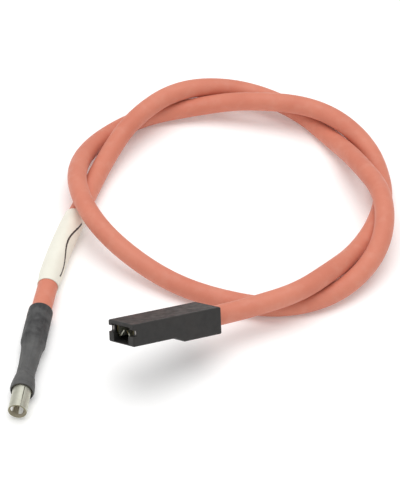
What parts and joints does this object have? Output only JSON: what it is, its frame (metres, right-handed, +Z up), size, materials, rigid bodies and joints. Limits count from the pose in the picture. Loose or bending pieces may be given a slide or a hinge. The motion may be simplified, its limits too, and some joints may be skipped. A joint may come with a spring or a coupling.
{
  "type": "ignition_lead",
  "caption": "High-tension ignition lead: soft salmon silicone cable in two loose turns, black blade-terminal housing on one end, pin socket under a grey heat-shrink boot on the other",
  "frame": {"origin": "on the surface that the lead lies on, under the middle of the box round its two end connectors; the free cable is left out of that box", "axes": "+Z up from the surface; -Y is the axis of the pin socket, out of its mouth; +X runs across the two connectors, from the socket end to the housing"},
  "size_m": [0.0966, 0.1366, 0.025],
  "materials": {
    "silicone_jacket": "soft satin silicone, salmon orange",
    "white_sleeve": "matte shrink tubing, off-white",
    "grey_boot": "matte shrink tubing, dark grey",
    "black_nylon": "moulded nylon, fine satin",
    "tinned_brass": "tinned sheet brass, satin",
    "tinned_copper": "tinned copper wire",
    "hot_melt": "translucent brown adhesive"
  },
  "bodies": {
    "root": {"lead_jacket": "silicone_jacket", "lead_conductor": "tinned_copper", "marker_sleeve": "white_sleeve", "spade_housing": "black_nylon", "spade_receptacle": "tinned_brass", "spade_end_strands": "tinned_copper", "socket_end_strands": "tinned_copper", "shrink_boot": "grey_boot", "boot_lining": "hot_melt", "socket_terminal": "tinned_brass"}
  },
  "joints": []
}
